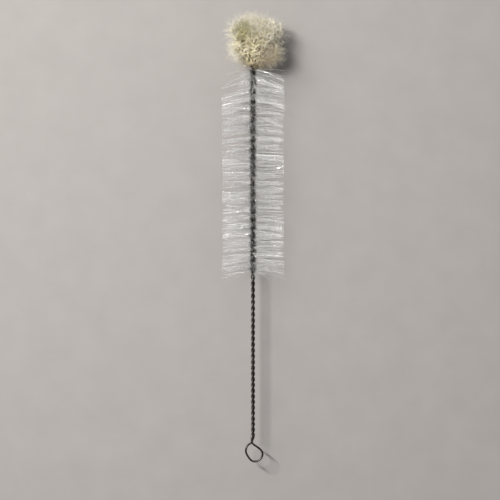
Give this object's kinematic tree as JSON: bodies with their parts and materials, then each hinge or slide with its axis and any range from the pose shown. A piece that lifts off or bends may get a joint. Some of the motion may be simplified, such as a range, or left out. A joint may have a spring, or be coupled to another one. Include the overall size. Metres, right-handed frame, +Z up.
{
  "type": "test tube brush",
  "caption": "Twisted wire brush for cleaning test tubes, with a spiral of clear nylon bristles, a cotton tuft at the tip and a hanging loop.",
  "frame": {"origin": "on the surface the brush lies on, under the middle of its overall length and width", "axes": "+Y along the wire from the hanging loop to the tuft, +Z up from the surface, +X across; the loop lies flat in a plane parallel to the surface"},
  "size_m": [0.032, 0.23, 0.0315],
  "materials": {
    "galvanised_wire": "dull galvanised steel wire, darkened by handling",
    "clear_nylon": "clear glossy nylon filament",
    "cotton": "fluffed unbleached cotton yarn"
  },
  "bodies": {
    "root": {"wire": "galvanised_wire", "filaments": "clear_nylon", "cotton_tuft": "cotton"}
  },
  "joints": []
}
